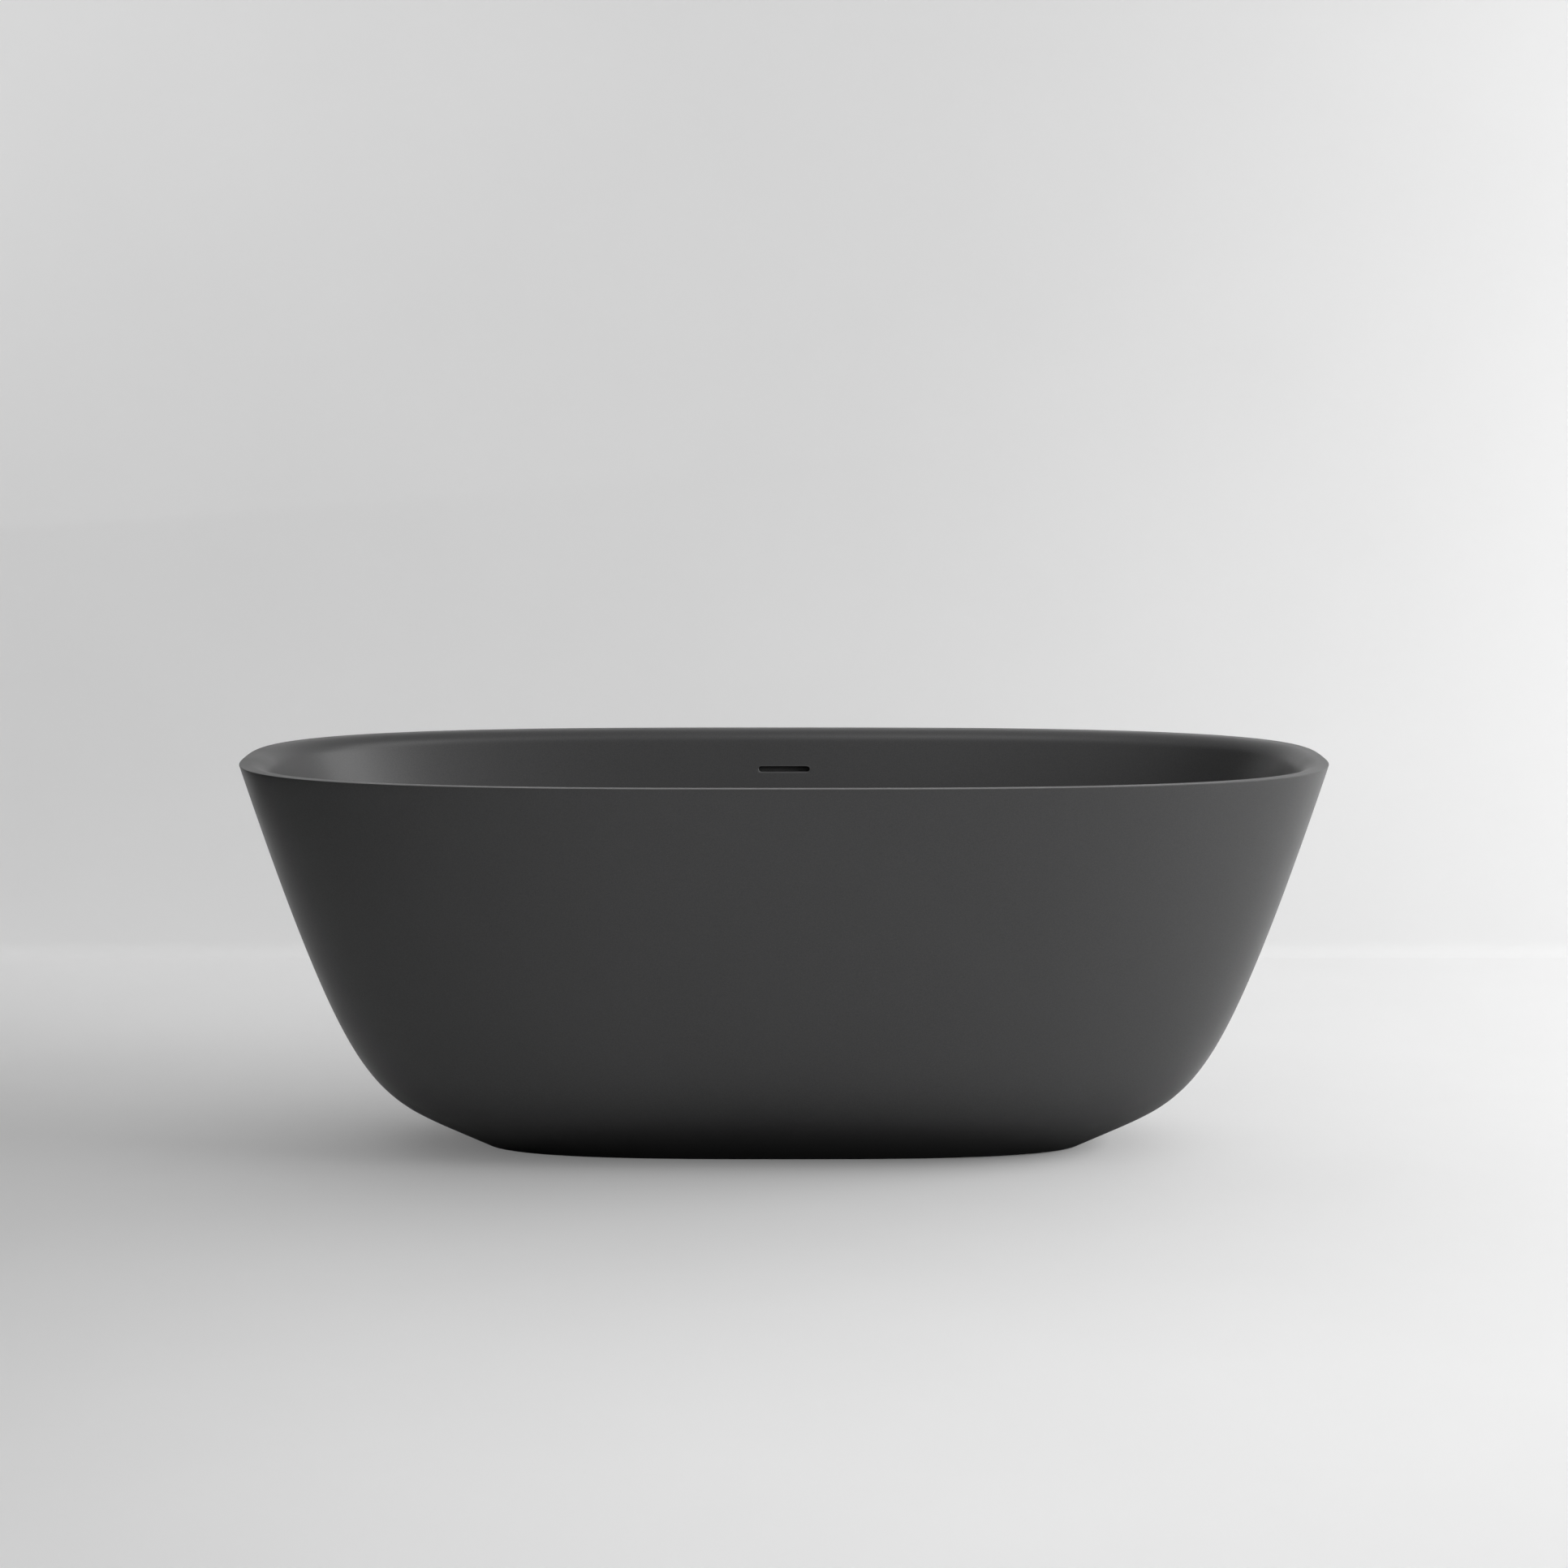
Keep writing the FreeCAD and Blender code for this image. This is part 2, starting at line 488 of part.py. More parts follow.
# ---------------------------------------------------------------- base board, bearers, feet
BZ0, BZ1 = FLANGE_TOP, FLANGE_TOP + BOARD_T
board = oval_slab(BOARD_A, BOARD_B, BZ0, BZ1)
win = Part.makeBox(255, 90, 40, Vector(-45, -45, 5))
win = win.makeFillet(20.0, [e for e in win.Edges if abs(e.tangentAt(e.FirstParameter).z) > 0.99])
board = board.cut(win)
FEET = {"front_left": (-FOOT_X, -FOOT_Y), "front_right": (FOOT_X, -FOOT_Y),
        "back_left": (-FOOT_X, FOOT_Y), "back_right": (FOOT_X, FOOT_Y)}
inserts, nuts = [], []
def hexagon(af, z0, z1, x, y):
    r = af / 2 / math.cos(math.pi / 6)
    p = [Vector(x + r * math.cos(math.pi / 3 * k), y + r * math.sin(math.pi / 3 * k), z0) for k in range(7)]
    p[6] = p[0]
    return Part.Face(Part.makePolygon(p)).extrude(Vector(0, 0, z1 - z0))

for name, (x, y) in FEET.items():
    board = board.cut(cyl(9.0, BZ0 - 1, BZ1 + 1, x, y))
    inserts.append(cyl(15.0, BZ0 - 1.5, BZ0, x, y).fuse(cyl(9.0, BZ0 - 0.5, BZ1 - 1, x, y)).cut(
        cyl(6.05, 5, 40, x, y)).removeSplitter())
    nuts.append(hexagon(18.0, 7.0, 12.5, x, y).common(cyl(10.15, 7.0, 12.5, x, y)).cut(cyl(6.05, 5, 20, x, y)))
    pad_face = Part.Face(Part.Wire([
        Part.makeLine(Vector(0, 0, 0), Vector(24.2, 0, 0)),
        Part.Arc(Vector(24.2, 0, 0), Vector(24.77, 0, 0.23), Vector(25, 0, 0.8)).toShape(),
        Part.makeLine(Vector(25, 0, 0.8), Vector(25, 0, 2.6)),
        Part.Arc(Vector(25, 0, 2.6), Vector(24.6, 0, 3.3), Vector(23.8, 0, 3.6)).toShape(),
        Part.makeLine(Vector(23.8, 0, 3.6), Vector(12.0, 0, 5.6)),
        Part.makeLine(Vector(12.0, 0, 5.6), Vector(11.0, 0, 6.5)),
        Part.makeLine(Vector(11.0, 0, 6.5), Vector(0, 0, 6.5)),
        Part.makeLine(Vector(0, 0, 6.5), Vector(0, 0, 0))]))
    pad = pad_face.revolve(Vector(0, 0, 0), Vector(0, 0, 1), 360).cut(cyl(4.05, 1.5, 10))
    pad.translate(Vector(x, y, 0))
    pad.exportStep("parts/foot_pad_%s.step" % name)
    st = cyl(3.99, 1.5, 7.0, x, y).fuse(cyl(6.0, 6.5, 46.0, x, y)).fuse(
        Part.makeCone(6.0, 4.8, 1.5, Vector(x, y, 46.0))).removeSplitter()
    # screwdriver slot across the top end, for turning the foot from inside
    st = st.cut(Part.makeBox(14, 1.6, 2.2, Vector(x - 7, y - 0.8, 45.4)))
    st.exportStep("parts/foot_stem_%s.step" % name)

bearers, screws = [], []
for sx in (-1, 1):
    w = Part.makeBox(50, 150, 144 - BZ1, Vector(sx * 245 - 25, -75, BZ1)).cut(basin)
    w = min(w.Solids, key=lambda q: q.BoundBox.ZMin)
    for sy in (-1, 1):
        x, y = sx * 245.0, sy * 48.0
        sc = Part.makeCone(5.0, 2.3, 2.9, Vector(x, y, BZ0)).fuse(cyl(2.3, BZ0 + 2.5, BZ0 + 48, x, y)).fuse(
            Part.makeCone(2.3, 0.3, 4.0, Vector(x, y, BZ0 + 48))).removeSplitter()
        w = w.cut(sc)
        board = board.cut(sc)
        slot = Part.makeBox(5.6, 1.1, 1.2, Vector(x - 2.8, y - 0.55, BZ0 - 0.2)).fuse(
            Part.makeBox(1.1, 5.6, 1.2, Vector(x - 0.55, y - 2.8, BZ0 - 0.2)))
        screws.append(sc.cut(slot))
    bearers.append(w)

# ---------------------------------------------------------------- write the parts
def put(name, s):
    if isinstance(s, list):
        s = Part.makeCompound(s)
    for q in s.Solids:
        if not q.isValid():
            print("not valid:", name)
    print("%-22s solids %d faces %d volume %.1f cm3  z %.2f..%.2f" % (
        name, len(s.Solids), len(s.Faces), sum(q.Volume for q in s.Solids) / 1000, s.BoundBox.ZMin, s.BoundBox.ZMax))
    s.exportStep("parts/%s.step" % name)

put("outer_shell", outer_shell)
put("basin", basin)
put("overflow_duct", duct)
put("overflow_hose", hose)
put("hose_clip_upper", clip_upper)
put("hose_clip_lower", clip_lower)
put("drain_gasket_upper", gasket_upper)
put("drain_flange", flange)
put("drain_gasket_lower", gasket_lower)
put("waste_body", body)
put("click_cartridge", cartridge)
put("stopper_spring", spring)
put("stopper_stem", stem)
put("stopper_seal", seal)
put("stopper_cap", cap)
put("trap_inlet_nut", inlet_nut)
put("trap_inlet_seal", inlet_seal)
put("trap_bend", trap)
put("trap_outlet_nut", outlet_nut)
put("trap_outlet_seal", outlet_seal)
put("outlet_elbow", elbow)
put("base_board", board)
put("floor_bearers", bearers)
put("bearer_screws", screws)
put("foot_inserts", inserts)
put("foot_lock_nuts", nuts)
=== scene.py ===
import json
import math

import bmesh
import bpy
import numpy as np
from mathutils import Matrix, Vector


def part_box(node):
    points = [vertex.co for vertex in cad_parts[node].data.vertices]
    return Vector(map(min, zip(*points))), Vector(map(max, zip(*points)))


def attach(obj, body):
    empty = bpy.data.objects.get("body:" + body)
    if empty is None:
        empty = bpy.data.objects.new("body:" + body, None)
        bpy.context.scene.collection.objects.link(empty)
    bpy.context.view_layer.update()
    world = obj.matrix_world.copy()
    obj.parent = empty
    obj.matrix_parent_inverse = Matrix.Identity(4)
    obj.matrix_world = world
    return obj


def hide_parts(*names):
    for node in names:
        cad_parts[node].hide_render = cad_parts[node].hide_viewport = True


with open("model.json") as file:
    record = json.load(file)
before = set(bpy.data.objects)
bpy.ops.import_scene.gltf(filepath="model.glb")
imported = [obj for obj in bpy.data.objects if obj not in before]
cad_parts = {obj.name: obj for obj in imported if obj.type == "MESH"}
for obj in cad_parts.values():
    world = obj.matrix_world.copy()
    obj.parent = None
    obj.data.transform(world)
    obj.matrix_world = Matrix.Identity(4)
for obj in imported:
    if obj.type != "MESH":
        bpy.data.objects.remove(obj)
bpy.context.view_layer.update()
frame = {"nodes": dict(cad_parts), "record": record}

NODES = frame["nodes"]

# ------------------------------------------------------------------ the tub's own curves (mm), as in its CAD
HEIGHT, HALF_L, HALF_W, N_RIM = 580.0, 800.0, 375.0, 2.93
SKIRT_Z, BASE_A, BASE_B = 2.0, 443.55, 143.0
END_POLY = [(443.55, 0.0), (471.41, 14.23), (539.41, 47.07), (587.67, 77.87),
            (639.35, 137.86), (700.45, 272.89), (760.0, 448.83), (800.49, 580.0)]
SHELL_T, BASIN_T, EDGE_R = 10.0, 12.0, 0.8
LIP_FLAT_A, LIP_FLAT_B, LIP_DEPTH = 786.0, 361.0, 14.0
DRAIN_Z = 146.0
FLANGE_A, FLANGE_B, FLANGE_TOP = 420.0, 118.0, 14.0
SLOT_Z, SLOT_W, SLOT_H = 519.0, 80.0, 8.0
Q = 72                       # columns per quadrant of an oval


def _basis(i, p, t, kn):
    if p == 0:
        return 1.0 if (kn[i] <= t < kn[i + 1]) or (t == kn[-1] and kn[i] < t <= kn[i + 1]) else 0.0
    v = 0.0
    if kn[i + p] > kn[i]:
        v += (t - kn[i]) / (kn[i + p] - kn[i]) * _basis(i, p - 1, t, kn)
    if kn[i + p + 1] > kn[i + 1]:
        v += (kn[i + p + 1] - t) / (kn[i + p + 1] - kn[i + 1]) * _basis(i + 1, p - 1, t, kn)
    return v


def spline(rows):
    p, m = 3, len(rows)
    s = [0.0]
    for k in range(1, m):
        s.append(s[-1] + math.sqrt(sum((rows[k][c] - rows[k - 1][c]) ** 2 for c in (0, 1, 2))) ** 0.7)
    s = [v / s[-1] for v in s]
    kn = [0.0] * (p + 1) + [sum(s[j:j + p]) / p for j in range(1, m - p)] + [1.0] * (p + 1)
    A = np.array([[_basis(i, p, t, kn) for i in range(m)] for t in s])
    return np.linalg.solve(A, np.array(rows, float)).tolist(), kn, p


def at(curve, t):
    poles, kn, p = curve
    t = min(max(t, 0.0), 1.0)
    if p == 3:                                   # de Boor
        k = max(i for i in range(p, len(poles)) if kn[i] <= t) if t < 1.0 else len(poles) - 1
        d = [list(poles[j + k - p]) for j in range(p + 1)]
        for r in range(1, p + 1):
            for j in range(p, r - 1, -1):
                den = kn[j + 1 + k - r] - kn[j + k - p]
                f = (t - kn[j + k - p]) / den if den else 0.0
                d[j] = [(1 - f) * d[j - 1][c] + f * d[j][c] for c in range(4)]
        return d[p]
    return [poles[0][c] + t * (poles[1][c] - poles[0][c]) for c in range(4)]


def b_of_a(a):
    return BASE_B + (HALF_W - BASE_B) * (a - BASE_A) / (HALF_L - BASE_A)


OUTER = ([[a, b_of_a(a), z, N_RIM] for a, z in END_POLY], [0.0] * 4 + [0.2, 0.4, 0.6, 0.8] + [1.0] * 4, 3)


def outer_t(z):
    lo, hi = 0.0, 1.0
    for _ in range(50):
        mid = (lo + hi) / 2
        if at(OUTER, mid)[2] < z:
            lo = mid
        else:
            hi = mid
    return (lo + hi) / 2


def offset_rows(rows, d):
    out = []
    for k, r in enumerate(rows):
        q0, q1 = rows[max(k - 1, 0)], rows[min(k + 1, len(rows) - 1)]
        da, db, dz = q1[0] - q0[0], q1[1] - q0[1], q1[2] - q0[2]
        la, lb = math.hypot(da, dz), math.hypot(db, dz)
        za, zb = r[2] + d * da / la, r[2] + d * db / lb
        a, b = r[0] - d * dz / la, r[1] - d * dz / lb
        z = (za + zb) / 2
        if abs(dz) > 1e-9:
            a += (z - za) * max(-2.5, min(2.5, da / dz))
            b += (z - zb) * max(-2.5, min(2.5, db / dz))
        out.append([a, b, z, r[3]])
    return out


slope_a = (END_POLY[-1][0] - END_POLY[-2][0]) / (END_POLY[-1][1] - END_POLY[-2][1])
ang = math.atan(slope_a)
tl = EDGE_R / math.tan((math.pi / 2 - ang) / 2)
t_edge = outer_t(HEIGHT - tl * math.cos(ang))
row_edge = at(OUTER, t_edge)
corner_a = END_POLY[-1][0]
row_flat = [corner_a - tl, b_of_a(corner_a) - tl, HEIGHT, N_RIM]
hdl = 4.0 / 3.0 * math.tan((math.pi / 2 + ang) / 4) * EDGE_R
pe = at(OUTER, t_edge - 1e-4)
dd = [row_edge[c] - pe[c] for c in (0, 1, 2)]
ll = math.hypot(dd[0], dd[2])
edge_curve = ([row_edge, [row_edge[c] + hdl * dd[c] / ll for c in (0, 1, 2)] + [N_RIM],
               [row_flat[0] + hdl, row_flat[1] + hdl, HEIGHT, N_RIM], row_flat], [0.0] * 4 + [1.0] * 4, 3)
p1, pe2 = at(OUTER, 1.0), at(OUTER, 1.0 - 1e-4)
angb = math.atan((p1[1] - pe2[1]) / (p1[2] - pe2[2]))
ho_a, ho_b = SHELL_T / math.cos(ang), SHELL_T / math.cos(angb)
ra = at(OUTER, outer_t(HEIGHT - LIP_DEPTH))
bond_top = [p1[0] - ho_a, p1[1] - ho_b, HEIGHT, N_RIM]
bond_bot = [ra[0] - ho_a, ra[1] - ho_b, HEIGHT - LIP_DEPTH, N_RIM]

ROLL_Z = 562.0
_da, _db = math.radians(65), math.radians(76)
_Ra = (HEIGHT - ROLL_Z) / (1 - math.cos(_da))
_Rb = (HEIGHT - ROLL_Z) / (1 - math.cos(_db))
roll = []
for k in range(9):
    f = k / 8.0
    z = HEIGHT - (HEIGHT - ROLL_Z) * (1 - math.cos(f * _db)) / (1 - math.cos(_db))
    roll.append([LIP_FLAT_A - _Ra * math.sin(math.acos(1 - (HEIGHT - z) / _Ra)),
                 LIP_FLAT_B - _Rb * math.sin(math.acos(1 - (HEIGHT - z) / _Rb)), z, N_RIM])
wall = [(743.5, 330.4, 531, 2.93), (728.9, 322.3, 500, 2.93), (705.2, 309.2, 450, 2.92), (680.8, 295.4, 400, 2.9),
        (655.4, 280.8, 350, 2.88), (628, 265, 300, 2.85), (596.5, 246.6, 250, 2.82), (565.5, 229, 212, 2.78),
        (536, 212.5, 187, 2.74), (502, 195, 170, 2.7), (462, 176, 160.5, 2.66), (414, 155, 155.6, 2.6),
        (350, 131, 152.6, 2.52), (270, 106, 150.4, 2.42), (180, 83, 148.6, 2.3), (105, 64, 147.2, 2.12),
        (50, 50, DRAIN_Z, 2.0)]
inner_rows = roll + [list(r) for r in wall]
basin_in = spline(inner_rows)
lip_root = [769.5, 350.2, 557.5, N_RIM]
basin_out = spline([lip_root] + offset_rows(inner_rows, BASIN_T)[9:-1] + [[50.0, 50.0, DRAIN_Z - BASIN_T, 2.0]])


# ------------------------------------------------------------------ oval sections
def _angles():
    ra_, rb_, n, m = 700.0, 320.0, N_RIM, 6000
    t = np.linspace(0, math.pi / 2, m + 1)
    x = ra_ * np.abs(np.cos(t)) ** (2 / n)
    y = rb_ * np.abs(np.sin(t)) ** (2 / n)
    x[-1] = 0
    s = np.r_[0, np.cumsum(np.hypot(np.diff(x), np.diff(y)))]
    q = np.interp(np.linspace(0, s[-1], Q + 1), s, t)
    q[0], q[-1] = 0, math.pi / 2
    return np.r_[q[:-1], (math.pi - q[::-1])[:-1], (math.pi + q)[:-1], (2 * math.pi - q[::-1])[:-1]]


TH = _angles()
COLS = len(TH)


def oval(row):
    a, b, z, n = row
    c, s = np.cos(TH), np.sin(TH)
    c[np.abs(c) < 1e-9] = 0
    s[np.abs(s) < 1e-9] = 0
    x = a * np.sign(c) * np.abs(c) ** (2 / n)
    y = b * np.sign(s) * np.abs(s) ** (2 / n)
    return np.c_[x, y, np.full(COLS, z)]


def sample(curve, t0, t1, m):
    return [at(curve, t0 + (t1 - t0) * k / (m - 1)) for k in range(m)]


def lerp_rows(r0, r1, m):
    return [[r0[c] + (r1[c] - r0[c]) * k / (m - 1) for c in range(4)] for k in range(m)]


def finish_mesh(name, verts, faces, sharp=38.0):
    me = bpy.data.meshes.new(name)
    me.from_pydata([tuple(v) for v in (np.asarray(verts, float) / 1000.0)], [], faces)
    me.validate()
    bm = bmesh.new()
    bm.from_mesh(me)
    bmesh.ops.remove_doubles(bm, verts=bm.verts, dist=1e-7)
    bmesh.ops.recalc_face_normals(bm, faces=bm.faces)
    bm.to_mesh(me)
    bm.free()
    for p in me.polygons:
        p.use_smooth = True
    me.set_sharp_from_angle(angle=math.radians(sharp))
    o = bpy.data.objects.new(name, me)
    bpy.context.scene.collection.objects.link(o)
    return o


def ring_faces(r0, r1, n, base0, base1):
    return [(base0 + i, base0 + (i + 1) % n, base1 + (i + 1) % n, base1 + i) for i in range(n)]


# ------------------------------------------------------------------ outer shell
rows = sample(OUTER, outer_t(SKIRT_Z), t_edge, 150)
outer_dense = list(rows)
rows += sample(edge_curve, 0.0, 1.0, 9)[1:]
rows += lerp_rows(row_flat, bond_top, 3)[1:]
rows += lerp_rows(bond_top, bond_bot, 3)[1:]
inner_face = offset_rows(sample(OUTER, 0.0, t_edge, 120), SHELL_T)
inner_face = [r for r in inner_face if FLANGE_TOP < r[2] < HEIGHT - LIP_DEPTH - 6]
rows += inner_face[::-1]
z0, z1 = inner_face[0], inner_face[1]
f = (FLANGE_TOP - z0[2]) / (z1[2] - z0[2])
rows += [[z0[c] + f * (z1[c] - z0[c]) for c in range(4)]]
rows[-1][2] = FLANGE_TOP
rows += [[FLANGE_A, FLANGE_B, FLANGE_TOP, N_RIM], [FLANGE_A, FLANGE_B, SKIRT_Z + 0.8, N_RIM],
         [FLANGE_A + 0.8, FLANGE_B + 0.8, SKIRT_Z, N_RIM]]
first = rows[0]
rows += [[first[0] - 1.6, first[1] - 1.6, SKIRT_Z, N_RIM]]
rows[0] = at(OUTER, outer_t(SKIRT_Z + 0.5))
verts, faces = [], []
for r in rows:
    verts.extend(oval(r).tolist())
for j in range(len(rows)):
    faces += ring_faces(j, j + 1, COLS, j * COLS, ((j + 1) % len(rows)) * COLS)
shell = finish_mesh("tub_outer_shell", verts, faces)


# ------------------------------------------------------------------ basin, with a rounded overflow slot through its far wall
def table_of(curve, m=2400):
    t = np.linspace(0, 1, m)
    return np.array([at(curve, float(x)) for x in t])


T_in, T_out = table_of(basin_in), table_of(basin_out)


def row_at_z(T, z):
    k = np.argmax(T[:, 2] < z)                    # first sample below z
    r0, r1 = T[k - 1], T[k]
    f = (z - r0[2]) / (r1[2] - r0[2])
    return (r0 + f * (r1 - r0)).tolist()


WZ = [SLOT_Z + 12 - 2 * k for k in range(13)]     # rows of the window round the slot
WC = 4                                            # columns each side of the middle


def face_rows(T, count):
    idx = np.linspace(0, len(T) - 1, count).round().astype(int)
    upper = [T[i].tolist() for i in idx if T[i][2] > WZ[0] + 1.2]
    lower = [T[i].tolist() for i in idx if T[i][2] < WZ[-1] - 1.2]
    win = [row_at_z(T, z) for z in WZ]
    return upper, win, lower


up_i, win_i, low_i = face_rows(T_in, 190)
up_o, win_o, low_o = face_rows(T_out, 120)


def round_edge(r_out, r_in, z_top, depth, e=1.2, m=5):
    """rounded step down of an annular recess: rows from the flat at r_in + e to the wall at r_in. r_out is not used.
    """
    out = []
    for k in range(m + 1):
        ph = math.pi / 2 * k / m
        out.append([r_in + e * (1 - math.sin(ph)), r_in + e * (1 - math.sin(ph)), z_top - e * (1 - math.cos(ph)), 2.0])
    return out


loop = []
loop += lerp_rows(bond_bot, bond_top, 3)
lip = lerp_rows(bond_top, roll[0], 4)[1:-1]
loop += lip
start_in = len(loop)
loop += up_i
w0i = len(loop)
loop += win_i
loop += low_i
loop += lerp_rows([50, 50, DRAIN_Z, 2.0], [39.4, 39.4, DRAIN_Z, 2.0], 4)[1:-1]
loop += round_edge(39.4, 38.0, DRAIN_Z, 4.0)
loop += [[38, 38, DRAIN_Z - 4.0, 2.0], [30, 30, DRAIN_Z - 4.0, 2.0], [25, 25, DRAIN_Z - 4.0, 2.0],
         [25, 25, DRAIN_Z - 8.0, 2.0], [25, 25, DRAIN_Z - BASIN_T, 2.0], [38, 38, DRAIN_Z - BASIN_T, 2.0]]
loop += [r for r in low_o[::-1]]
w1o = len(loop)                                    # rows run upwards on the back face
loop += win_o[::-1]
loop += up_o[::-1]

verts, faces = [], []
for r in loop:
    verts.extend(oval(r).tolist())
NR = len(loop)


def in_window(j, i, w):
    return w <= j < w + len(WZ) - 1 and Q - WC <= i < Q + WC


for j in range(NR):
    for i in range(COLS):
        if in_window(j, i, w0i) or in_window(j, i, w1o):
            continue
        faces.append((j * COLS + i, j * COLS + (i + 1) % COLS, ((j + 1) % NR) * COLS + (i + 1) % COLS, ((j + 1) % NR) * COLS + i))


def window_border(row_of_z):
    """vertex ids round the window: along the top, down the far side, back along the bottom, up"""
    n = len(WZ)
    rid = [row_of_z(k) for k in range(n)]          # k = 0 is the top row
    ids = [rid[0] * COLS + c for c in range(Q - WC, Q + WC + 1)]
    ids += [rid[k] * COLS + Q + WC for k in range(1, n)]
    ids += [rid[-1] * COLS + c for c in range(Q + WC - 1, Q - WC - 1, -1)]
    ids += [rid[k] * COLS + Q - WC for k in range(n - 2, 0, -1)]
    return ids


def stadium():
    """points and outward normals of the slot outline, one for each border vertex"""
    r = SLOT_H / 2
    hx = SLOT_W / 2 - r
    n = len(WZ) - 1
    pts = []
    for k in range(2 * WC + 1):
        pts.append((hx - 2 * hx * k / (2 * WC), SLOT_Z + r, 0.0, 1.0))
    for k in range(1, n + 1):
        ph = math.pi / 2 + math.pi * k / n
        pts.append((-hx + r * math.cos(ph), SLOT_Z + r * math.sin(ph), math.cos(ph), math.sin(ph)))
    for k in range(1, 2 * WC + 1):
        pts.append((-hx + 2 * hx * k / (2 * WC), SLOT_Z - r, 0.0, -1.0))
    for k in range(1, n):
        ph = -math.pi / 2 + math.pi * k / n
        pts.append((hx + r * math.cos(ph), SLOT_Z + r * math.sin(ph), math.cos(ph), math.sin(ph)))
    return np.array(pts)


ST = stadium()


def on_face(T, x, z):
    a, b, _, n = row_at_z(T, z)
    return b * (1 - abs(x / a) ** n) ** (1 / n)


def patch(ids, T, gap, bands):
    """rings from the window's border in to the slot outline widened by gap; returns the last ring's ids"""
    prev = ids
    bx = np.array([verts[i] for i in ids])
    for k in range(1, bands + 1):
        f = k / bands
        ring = []
        for q in range(len(ids)):
            tx = ST[q, 0] + ST[q, 2] * gap
            tz = ST[q, 1] + ST[q, 3] * gap
            x = bx[q, 0] + (tx - bx[q, 0]) * f
            z = bx[q, 2] + (tz - bx[q, 2]) * f
            ring.append(len(verts))
            verts.append([x, on_face(T, x, z), z])
        n = len(ids)
        for q in range(n):
            faces.append((prev[q], prev[(q + 1) % n], ring[(q + 1) % n], ring[q]))
        prev = ring
    return prev


E = 1.1
front = patch(window_border(lambda k: w0i + k), T_in, E, 4)
back = patch(window_border(lambda k: w1o + len(WZ) - 1 - k), T_out, 0.0, 3)
prev = front
for k in range(1, 6):
    ph = math.pi / 2 * k / 5
    off, dep = E * (1 - math.sin(ph)), E * (1 - math.cos(ph))
    ring = []
    for q in range(len(front)):
        x, z = ST[q, 0] + ST[q, 2] * off, ST[q, 1] + ST[q, 3] * off
        ring.append(len(verts))
        verts.append([x, on_face(T_in, ST[q, 0], ST[q, 1]) + dep, z])
    for q in range(len(front)):
        n = len(front)
        faces.append((prev[q], prev[(q + 1) % n], ring[(q + 1) % n], ring[q]))
    prev = ring
for q in range(len(front)):
    n = len(front)
    faces.append((prev[q], prev[(q + 1) % n], back[(q + 1) % n], back[q]))
basin = finish_mesh("tub_basin", verts, faces)

for o, node in ((shell, "outer_shell"), (basin, "basin")):
    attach(o, "tub")
    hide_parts(node)


# ------------------------------------------------------------------ corrugated overflow hose
def sweep_tube(name, path, radius_out, radius_in, cols=40):
    """closed tube along a path in the YZ plane: path is (y, z, direction angle) samples, radii per sample"""
    verts, faces, n = [], [], len(path)
    th = np.linspace(0, 2 * math.pi, cols, endpoint=False)
    for radii in (radius_out, radius_in[::-1]):
        seq = path if radii is radius_out else path[::-1]
        for (y, z, a), r in zip(seq, radii):
            ny, nz = -math.sin(a), math.cos(a)
            for t in th:
                verts.append([r * math.cos(t), y + r * math.sin(t) * ny, z + r * math.sin(t) * nz])
    for j in range(2 * n):
        faces += ring_faces(0, 0, cols, j * cols, ((j + 1) % (2 * n)) * cols)
    return finish_mesh(name, verts, faces, 50)


PORT_Z, HOSE_ANG, HR = 104.0, math.radians(65.0), 45.0
ca, sa = math.cos(HOSE_ANG), math.sin(HOSE_ANG)
s2y, s2z = 233.2, 150.0
top_k = (216.0 - s2z) / sa
top_y, top_z = s2y + ca * top_k, 216.0
end_y, end_z = top_y - 10 * ca, top_z - 10 * sa
kk = (s2z - PORT_Z) / sa
cy = s2y - kk * ca
Tn = HR * math.tan(HOSE_ANG / 2)
L1 = (cy - Tn) - 42.0
L2 = HR * HOSE_ANG
L3 = math.hypot(end_y - (cy + Tn * ca), end_z - (PORT_Z + Tn * sa))
total = L1 + L2 + L3
path, ro, ri = [], [], []
m = int(total / 0.55)
for k in range(m + 1):
    s = total * k / m
    if s <= L1:
        path.append((42.0 + s, PORT_Z, 0.0))
    elif s <= L1 + L2:
        a = (s - L1) / HR
        path.append((42.0 + L1 + HR * math.sin(a), PORT_Z + HR * (1 - math.cos(a)), a))
    else:
        d = s - L1 - L2
        path.append((cy + Tn * ca + d * ca, PORT_Z + Tn * sa + d * sa, HOSE_ANG))
    cuff = min(s, total - s)
    w = max(0.0, min(1.0, (cuff - 19.0) / 2.0))
    rib = 0.5 + 0.5 * math.cos(2 * math.pi * s / 4.6)
    rib = rib ** 0.6
    ro.append(15.5 - w * (1 - rib) * 2.2)
    ri.append(12.6)
hose = sweep_tube("overflow_hose_corrugated", path, ro, ri)
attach(hose, "tub")
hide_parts("overflow_hose")


